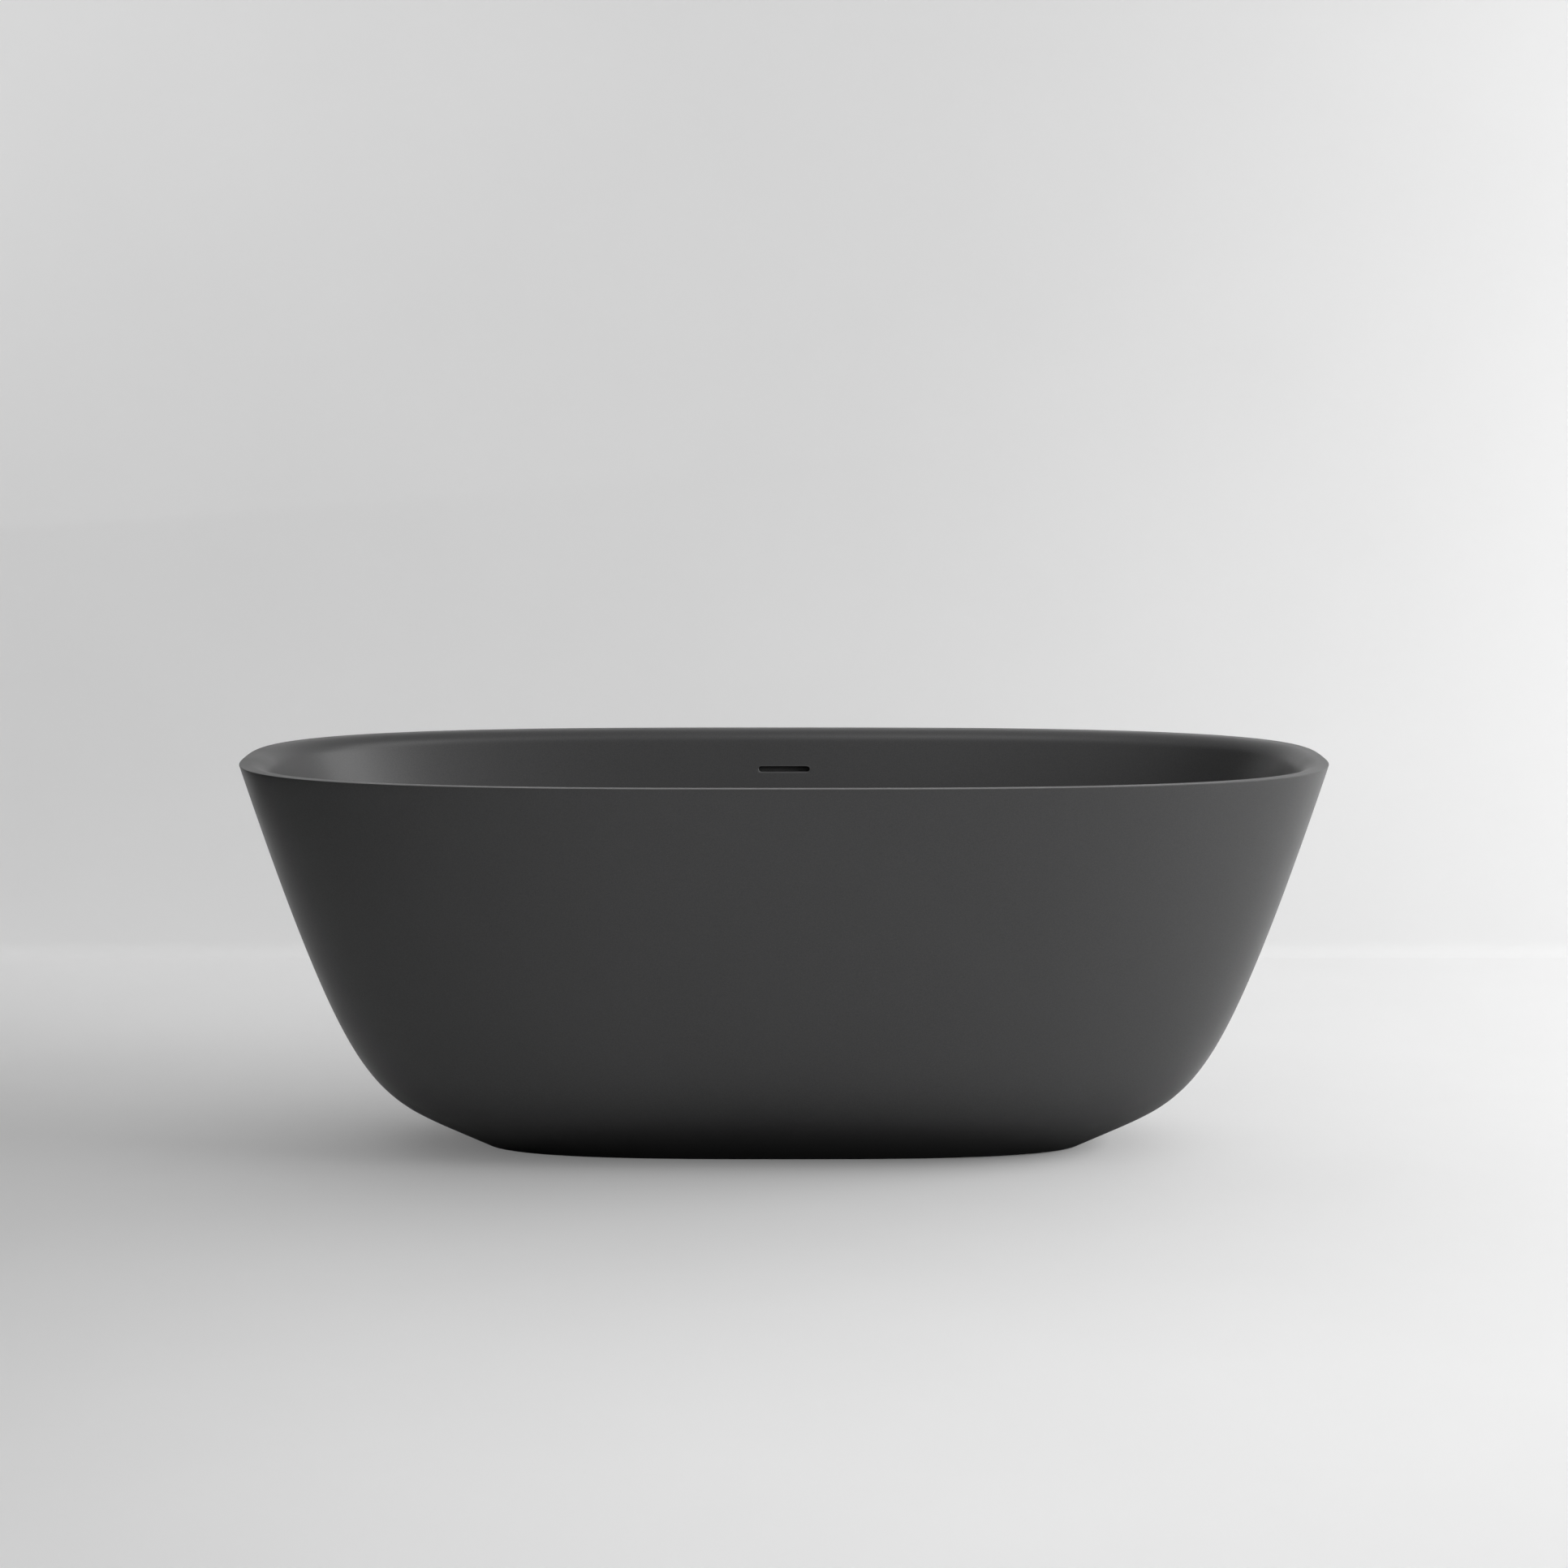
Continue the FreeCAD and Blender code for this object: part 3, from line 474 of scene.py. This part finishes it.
# ------------------------------------------------------------------ threaded levelling stems
def stem_mesh(name, node):
    lo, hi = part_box(node)
    cx, cyy = (lo.x + hi.x) * 500, (lo.y + hi.y) * 500
    zb, zt = lo.z * 1000, hi.z * 1000
    pitch, R, depth, cols = 1.75, 6.0, 0.95, 40
    prof = [(zb, 0.0, 0), (zb, 3.6, 0), (zb + 0.4, 3.99, 0), (6.5, 3.99, 0), (6.5, 5.2, 0)]
    zz = 6.9
    while zz < zt - 0.3:
        prof.append((zz, R, 1))
        zz += pitch / 9
    prof += [(zt - 0.2, 5.0, 0), (zt, 4.7, 0)]
    verts, faces = [], []
    for z, r, thr in prof:
        for i in range(cols):
            t = 2 * math.pi * i / cols
            rr = r
            if thr:
                ph = (z / pitch - t / (2 * math.pi)) % 1.0
                tri = abs(2 * ph - 1)
                g = min(1.0, max(0.0, tri * 1.35 - 0.12))
                fade = min(1.0, (z - 6.9) / 2.5, (zt - z) / 1.6)
                rr = R - depth * g * max(0.0, fade) - (1 - max(0.0, fade)) * 0.35
            verts.append([cx + rr * math.cos(t), cyy + rr * math.sin(t), z])
    n = len(prof)
    for j in range(n - 1):
        faces += ring_faces(0, 0, cols, j * cols, (j + 1) * cols)
    top = (n - 1) * cols
    # slotted top end for a screwdriver
    c0 = len(verts)
    hw = 0.8
    inner = []
    for i in range(cols):
        t = 2 * math.pi * i / cols
        x, y = 4.2 * math.cos(t), 4.2 * math.sin(t)
        inner.append((x, y))
    for x, y in inner:
        verts.append([cx + x, cyy + y, zt])
    faces += ring_faces(0, 0, cols, top, c0)
    c1 = len(verts)
    for x, y in inner:
        verts.append([cx + x * 0.93, cyy + math.copysign(min(abs(y), hw), y), zt - 0.02])
    faces += ring_faces(0, 0, cols, c0, c1)
    c2 = len(verts)
    for x, y in inner:
        verts.append([cx + x * 0.9, cyy + math.copysign(min(abs(y), hw * 0.95), y), zt - 1.9])
    faces += ring_faces(0, 0, cols, c1, c2)
    faces.append(tuple(range(c2, c2 + cols)))
    return finish_mesh(name, verts, faces, 35)


FEET = ("front_left", "front_right", "back_left", "back_right")
stems = []
for k in FEET:
    o = stem_mesh("levelling_screw_" + k, "foot_stem_" + k)
    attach(o, "screw_" + k)
    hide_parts("foot_stem_" + k)
    stems.append(o)


# ------------------------------------------------------------------ materials
def new_mat(name):
    m = bpy.data.materials.new(name)
    m.use_nodes = True
    nt = m.node_tree
    b = nt.nodes["Principled BSDF"]
    tc = nt.nodes.new("ShaderNodeTexCoord")
    return m, nt, b, tc.outputs["Object"]


def node(nt, kind, **kw):
    n = nt.nodes.new(kind)
    for k, v in kw.items():
        if k in n.inputs:
            n.inputs[k].default_value = v
        else:
            setattr(n, k, v)
    return n


def noise(nt, vec, scale, detail=3.0, rough=0.55, stretch=None):
    if stretch is not None:
        mp = node(nt, "ShaderNodeMapping")
        mp.inputs["Scale"].default_value = stretch
        nt.links.new(vec, mp.inputs["Vector"])
        vec = mp.outputs["Vector"]
    n = node(nt, "ShaderNodeTexNoise")
    n.inputs["Scale"].default_value = scale
    n.inputs["Detail"].default_value = detail
    n.inputs["Roughness"].default_value = rough
    nt.links.new(vec, n.inputs["Vector"])
    return n.outputs["Fac"]


def ramp(nt, fac, stops):
    r = node(nt, "ShaderNodeValToRGB")
    e = r.color_ramp.elements
    e[0].position, e[0].color = stops[0][0], (*stops[0][1], 1)
    e[1].position, e[1].color = stops[-1][0], (*stops[-1][1], 1)
    for p, c in stops[1:-1]:
        x = e.new(p)
        x.color = (*c, 1)
    nt.links.new(fac, r.inputs["Fac"])
    return r.outputs["Color"]


def remap(nt, fac, lo, hi, a=0.3, b=0.7):
    r = node(nt, "ShaderNodeMapRange")
    r.inputs["From Min"].default_value, r.inputs["From Max"].default_value = a, b
    r.inputs["To Min"].default_value, r.inputs["To Max"].default_value = lo, hi
    nt.links.new(fac, r.inputs["Value"])
    return r.outputs["Result"]


def mix(nt, c0, c1, fac, kind="MULTIPLY"):
    m = node(nt, "ShaderNodeMix", data_type="RGBA", blend_type=kind)
    m.inputs["Factor"].default_value = fac
    nt.links.new(c0, m.inputs["A"])
    nt.links.new(c1, m.inputs["B"])
    return m.outputs["Result"]


def bump(nt, b, height, strength, distance, prev=None):
    n = node(nt, "ShaderNodeBump")
    n.inputs["Strength"].default_value = strength
    n.inputs["Distance"].default_value = distance
    nt.links.new(height, n.inputs["Height"])
    if prev is not None:
        nt.links.new(prev, n.inputs["Normal"])
    nt.links.new(n.outputs["Normal"], b.inputs["Normal"])
    return n.outputs["Normal"]


def grey(v, tint=(1.0, 1.0, 1.0)):
    return (v * tint[0], v * tint[1], v * tint[2])


def mat_solid_surface():
    m, nt, b, v = new_mat("anthracite_solid_surface")
    t = (1.0, 1.0, 1.015)
    cloud = ramp(nt, noise(nt, v, 3.1, 4), [(0.3, grey(0.0415, t)), (0.7, grey(0.0445, t))])
    grain = ramp(nt, noise(nt, v, 620, 2, 0.7), [(0.33, grey(0.86)), (0.5, grey(1.0)), (0.68, grey(1.14))])
    col = mix(nt, cloud, grain, 1.0)
    vor = node(nt, "ShaderNodeTexVoronoi")
    vor.inputs["Scale"].default_value = 420
    nt.links.new(v, vor.inputs["Vector"])
    speck = ramp(nt, vor.outputs["Distance"], [(0.0, grey(1.35)), (0.16, grey(1.12)), (0.26, grey(1.0))])
    col = mix(nt, col, speck, 0.55)
    nt.links.new(col, b.inputs["Base Color"])
    nt.links.new(remap(nt, noise(nt, v, 9, 5), 0.36, 0.42), b.inputs["Roughness"])
    n1 = bump(nt, b, noise(nt, v, 900, 3, 0.6), 0.22, 0.00009)
    bump(nt, b, noise(nt, v, 38, 3, 0.5), 0.10, 0.0003, n1)
    b.inputs["IOR"].default_value = 1.42
    return m


def mat_plastic(name, c, rough=0.45, tint=(1, 1, 1), grain=700):
    m, nt, b, v = new_mat(name)
    cl = ramp(nt, noise(nt, v, 24, 4), [(0.3, grey(c * 0.93, tint)), (0.7, grey(c * 1.05, tint))])
    nt.links.new(cl, b.inputs["Base Color"])
    nt.links.new(remap(nt, noise(nt, v, 55, 4), rough - 0.06, rough + 0.08), b.inputs["Roughness"])
    n1 = bump(nt, b, noise(nt, v, grain, 3, 0.6), 0.25, 0.00008)
    bump(nt, b, noise(nt, v, 60, 3), 0.12, 0.0003, n1)
    return m


def mat_rubber(name, c=0.02):
    m, nt, b, v = new_mat(name)
    cl = ramp(nt, noise(nt, v, 60, 4), [(0.3, grey(c * 0.85)), (0.7, grey(c * 1.3))])
    nt.links.new(cl, b.inputs["Base Color"])
    nt.links.new(remap(nt, noise(nt, v, 90, 4), 0.62, 0.8), b.inputs["Roughness"])
    bump(nt, b, noise(nt, v, 900, 3, 0.6), 0.4, 0.0001)
    return m


def mat_metal(name, col, rough=0.32, brush=(1, 1, 30)):
    m, nt, b, v = new_mat(name)
    f = noise(nt, v, 90, 4, 0.6, brush)
    cl = ramp(nt, f, [(0.25, tuple(x * 0.86 for x in col)), (0.75, tuple(min(1, x * 1.06) for x in col))])
    nt.links.new(cl, b.inputs["Base Color"])
    b.inputs["Metallic"].default_value = 1.0
    nt.links.new(remap(nt, f, rough - 0.07, rough + 0.12), b.inputs["Roughness"])
    bump(nt, b, noise(nt, v, 700, 2, 0.5, brush), 0.15, 0.00005)
    return m


def mat_ply():
    m, nt, b, v = new_mat("birch_plywood")
    grain = noise(nt, v, 26, 6, 0.62, (0.6, 7.0, 3.0))
    fine = noise(nt, v, 160, 4, 0.6, (0.35, 6.0, 6.0))
    face = ramp(nt, grain, [(0.25, (0.42, 0.27, 0.14)), (0.5, (0.56, 0.39, 0.22)), (0.75, (0.66, 0.49, 0.30))])
    streak = ramp(nt, fine, [(0.3, grey(0.8)), (0.6, grey(1.04))])
    face = mix(nt, face, streak, 0.7)
    # veneer lines across the edges
    sep = node(nt, "ShaderNodeSeparateXYZ")
    nt.links.new(v, sep.inputs["Vector"])
    wv = node(nt, "ShaderNodeMath", operation="SINE")
    ml = node(nt, "ShaderNodeMath", operation="MULTIPLY")
    ml.inputs[1].default_value = 2 * math.pi / 0.0028
    nt.links.new(sep.outputs["Z"], ml.inputs[0])
    nt.links.new(ml.outputs[0], wv.inputs[0])
    lam = ramp(nt, remap(nt, wv.outputs[0], 0.0, 1.0, -1.0, 1.0), [(0.35, (0.34, 0.21, 0.11)), (0.65, (0.60, 0.43, 0.25))])
    geo = node(nt, "ShaderNodeNewGeometry")
    sn = node(nt, "ShaderNodeSeparateXYZ")
    nt.links.new(geo.outputs["True Normal"], sn.inputs["Vector"])
    ab = node(nt, "ShaderNodeMath", operation="ABSOLUTE")
    nt.links.new(sn.outputs["Z"], ab.inputs[0])
    mx = node(nt, "ShaderNodeMix", data_type="RGBA")
    nt.links.new(remap(nt, ab.outputs[0], 0.0, 1.0, 0.4, 0.7), mx.inputs["Factor"])
    nt.links.new(lam, mx.inputs["A"])
    nt.links.new(face, mx.inputs["B"])
    nt.links.new(mx.outputs["Result"], b.inputs["Base Color"])
    nt.links.new(remap(nt, grain, 0.55, 0.72), b.inputs["Roughness"])
    bump(nt, b, fine, 0.25, 0.0002)
    return m


MATS = {
    "anthracite_solid_surface": mat_solid_surface(),
    "duct_plastic": mat_plastic("duct_moulding", 0.07, 0.5),
    "hose_plastic": mat_plastic("hose_polypropylene", 0.42, 0.42, (1.0, 1.0, 0.98)),
    "waste_plastic": mat_plastic("waste_polypropylene", 0.66, 0.36, (1.0, 1.0, 0.97)),
    "seal_rubber": mat_rubber("seal_rubber"),
    "strainer_metal": mat_metal("strainer_steel", (0.62, 0.62, 0.61), 0.24, (30, 30, 1)),
    "brass": mat_metal("turned_brass", (0.72, 0.54, 0.27), 0.3, (1, 1, 40)),
    "zinc_steel": mat_metal("zinc_plated_steel", (0.56, 0.58, 0.60), 0.34, (3, 3, 3)),
    "pad_plastic": mat_plastic("pad_polyamide", 0.028, 0.5),
    "birch_ply": mat_ply(),
}
slot_of = {s["node"]: s["material_slot"] for s in frame["record"]["subparts"]}


def paint(o, m):
    o.data.materials.clear()
    o.data.materials.append(m)


for name, o in NODES.items():
    mt = MATS[slot_of.get(name, "waste_plastic")]
    if o.material_slots:
        for s in o.material_slots:
            s.material = mt
    else:
        o.data.materials.append(mt)
for o in (shell, basin):
    paint(o, MATS["anthracite_solid_surface"])
paint(hose, MATS["hose_plastic"])
for o in stems:
    paint(o, MATS["zinc_steel"])

# ------------------------------------------------------------------ floor and wall
WALL_Y, COVE = 1.53, 0.03
prof = [(-30.0, 0.0), (-3.0, 0.0), (0.0, 0.0), (WALL_Y - COVE, 0.0)]
prof += [(WALL_Y - COVE + COVE * math.sin(t), COVE - COVE * math.cos(t)) for t in np.linspace(0.12, math.pi / 2, 10)]
prof += [(WALL_Y, 1.0), (WALL_Y, 3.0), (WALL_Y, 7.0)]
verts, faces = [], []
for y, z in prof:
    verts += [(-12000.0, y * 1000, z * 1000), (12000.0, y * 1000, z * 1000)]
for i in range(len(prof) - 1):
    faces.append((2 * i, 2 * i + 1, 2 * i + 3, 2 * i + 2))
# the floor goes on behind the wall, where only a viewer behind it sees it
n = len(verts)
for y in (WALL_Y - COVE, 4.0, 30.0):
    verts += [(-12000.0, y * 1000, 0.0), (12000.0, y * 1000, 0.0)]
faces += [(n, n + 1, n + 3, n + 2), (n + 2, n + 3, n + 5, n + 4)]
me = bpy.data.meshes.new("studio_floor_and_wall")
me.from_pydata([tuple(c / 1000 for c in v) for v in verts], [], faces)
for p in me.polygons:
    p.use_smooth = True
studio = bpy.data.objects.new("studio_floor_and_wall", me)
bpy.context.scene.collection.objects.link(studio)
m, nt, b, v = new_mat("studio_plaster")
cl = ramp(nt, noise(nt, v, 2.2, 4), [(0.3, grey(0.86)), (0.7, grey(0.875))])
nt.links.new(cl, b.inputs["Base Color"])
b.inputs["Roughness"].default_value = 0.9
b.inputs["Specular IOR Level"].default_value = 0.15
# one-sided sheet: only its room side is solid, so it never stands between a viewer behind it and the tub
back = node(nt, "ShaderNodeNewGeometry")
clear = node(nt, "ShaderNodeBsdfTransparent")
pick = node(nt, "ShaderNodeMixShader")
nt.links.new(back.outputs["Backfacing"], pick.inputs[0])
nt.links.new(b.outputs[0], pick.inputs[1])
nt.links.new(clear.outputs[0], pick.inputs[2])
nt.links.new(pick.outputs[0], nt.nodes["Material Output"].inputs["Surface"])
paint(studio, m)


def flag(name, corners, shade):
    """a matt studio flag out of the picture, which keeps stray light off one side of the tub"""
    me = bpy.data.meshes.new(name)
    me.from_pydata(corners, [], [(0, 1, 2, 3)])
    o = bpy.data.objects.new(name, me)
    bpy.context.scene.collection.objects.link(o)
    mm, nt2, b2, v2 = new_mat(name)
    b2.inputs["Base Color"].default_value = (shade, shade, shade, 1)
    b2.inputs["Roughness"].default_value = 0.95
    b2.inputs["Specular IOR Level"].default_value = 0.0
    o.data.materials.append(mm)
    o.visible_camera = False
    o.visible_shadow = False
    return o


FX = -1.9
flag("flag_left", [(FX, -3.0, 0.02), (FX, 1.15, 0.02), (FX, 1.15, 2.6), (FX, -3.0, 2.6)], 0.03)

def painted_shade_floor_card(name, z, rx, ry, inner, shade):
    """painted shade: a matt black card on the floor round the foot, black near it and fading out towards the card's
    edge. It stands in for shaded floor and keeps floor light off the tub's tuck-under, so that part renders darker.
    Only light that leaves the tub downwards meets it: it is clear from below, casts no shadow and isn't seen."""
    me = bpy.data.meshes.new(name)
    me.from_pydata([(-rx, -ry, z), (rx, -ry, z), (rx, ry, z), (-rx, ry, z)], [], [(0, 1, 2, 3)])
    o = bpy.data.objects.new(name, me)
    bpy.context.scene.collection.objects.link(o)
    mm, nt2, b2, v2 = new_mat(name)
    b2.inputs["Base Color"].default_value = (shade, shade, shade, 1)
    b2.inputs["Roughness"].default_value = 0.95
    b2.inputs["Specular IOR Level"].default_value = 0.0
    sep = node(nt2, "ShaderNodeSeparateXYZ")
    nt2.links.new(v2, sep.inputs["Vector"])
    terms = []
    for ax, r in (("X", rx), ("Y", ry)):
        d = node(nt2, "ShaderNodeMath", operation="DIVIDE")
        d.inputs[1].default_value = r
        nt2.links.new(sep.outputs[ax], d.inputs[0])
        q = node(nt2, "ShaderNodeMath", operation="MULTIPLY")
        nt2.links.new(d.outputs[0], q.inputs[0])
        nt2.links.new(d.outputs[0], q.inputs[1])
        terms.append(q)
    add = node(nt2, "ShaderNodeMath", operation="ADD")
    nt2.links.new(terms[0].outputs[0], add.inputs[0])
    nt2.links.new(terms[1].outputs[0], add.inputs[1])
    root = node(nt2, "ShaderNodeMath", operation="SQRT")
    nt2.links.new(add.outputs[0], root.inputs[0])
    # the painted shade is full black inside the inner oval and fades to clear at the card's edge
    fade = remap(nt2, root.outputs[0], 0.0, 1.0, inner, 1.0)
    geo = node(nt2, "ShaderNodeNewGeometry")
    mx = node(nt2, "ShaderNodeMath", operation="MAXIMUM")
    nt2.links.new(fade, mx.inputs[0])
    nt2.links.new(geo.outputs["Backfacing"], mx.inputs[1])
    clear2 = node(nt2, "ShaderNodeBsdfTransparent")
    pick2 = node(nt2, "ShaderNodeMixShader")
    nt2.links.new(mx.outputs[0], pick2.inputs[0])
    nt2.links.new(b2.outputs[0], pick2.inputs[1])
    nt2.links.new(clear2.outputs[0], pick2.inputs[2])
    nt2.links.new(pick2.outputs[0], nt2.nodes["Material Output"].inputs["Surface"])
    o.data.materials.append(mm)
    o.visible_camera = False
    o.visible_shadow = False
    return o


# painted shade: an unseen black sheet round the foot that darkens the tub's lower part in bounce light
painted_shade_floor_card("painted_shade_card_under_foot", 0.001, 0.78, 0.405, 0.56, 0.02)

# ------------------------------------------------------------------ light
world = bpy.data.worlds.new("studio_world")
bpy.context.scene.world = world
world.use_nodes = True
bg = world.node_tree.nodes["Background"]
bg.inputs[0].default_value = (1, 1, 1, 1)
bg.inputs[1].default_value = 0.41


def area(name, loc, target, sx, sy, watts, only=None, spread=180):
    l = bpy.data.lights.new(name, "AREA")
    l.spread = math.radians(spread)
    l.shape, l.size, l.size_y, l.energy = "RECTANGLE", sx, sy, watts
    o = bpy.data.objects.new(name, l)
    bpy.context.scene.collection.objects.link(o)
    o.location = loc
    o.rotation_euler = (Vector(target) - Vector(loc)).to_track_quat("-Z", "Y").to_euler()
    o.visible_camera = False
    if only is not None:
        o.light_linking.receiver_collection = only
        o.light_linking.blocker_collection = only
    return o


backdrop = bpy.data.collections.new("backdrop_only")
backdrop.objects.link(studio)
tub_only = bpy.data.collections.new("tub_only")
for o in (shell, basin, *[n for n in NODES.values()]):
    tub_only.objects.link(o)
area("key_right", (4.8, -0.7, 2.1), (0.0, 0.0, 0.3), 3.8, 2.4, 185)
area("key_tub", (3.4, -2.3, 1.3), (0.0, 0.0, 0.3), 2.2, 2.0, 58, tub_only)
area("overhead", (0.9, -0.6, 2.4), (0.0, 0.1, 0.4), 1.6, 1.2, 20, tub_only)
area("wash_left", (-2.0, -0.7, 2.7), (-1.4, 1.53, 1.2), 2.0, 1.6, 10, backdrop, 100)
# from below the floor, on the board, the trap and the feet only, for a viewer who looks from there
under_parts = bpy.data.collections.new("under_parts")
for name, o in NODES.items():
    if name not in ("outer_shell", "basin", "stopper_cap", "drain_flange"):
        under_parts.objects.link(o)
for o in stems:
    under_parts.objects.link(o)
under = area("under_foot", (0.2, -0.4, -1.6), (0.0, 0.0, 0.0), 1.5, 1.0, 12, under_parts)
under.light_linking.blocker_collection = tub_only
area("wash_front", (0.0, -2.2, 2.8), (0.0, -1.3, 0.0), 2.4, 1.0, 8, backdrop, 100)

# ------------------------------------------------------------------ camera, at the photograph's viewing angle
cam = bpy.data.cameras.new("camera")
cam_o = bpy.data.objects.new("camera", cam)
bpy.context.scene.collection.objects.link(cam_o)
cam.sensor_width = 36.0
cam.lens = 36.0 * 4312.0 / 1932.0
cam_o.location = (0.0, -5.162, 1.216)
cam_o.rotation_euler = (math.pi / 2 - math.radians(7.48), 0.0, 0.0)
cam.clip_end = 60.0
bpy.context.scene.camera = cam_o
bpy.context.scene.view_settings.view_transform = "Standard"

bpy.context.view_layer.update()
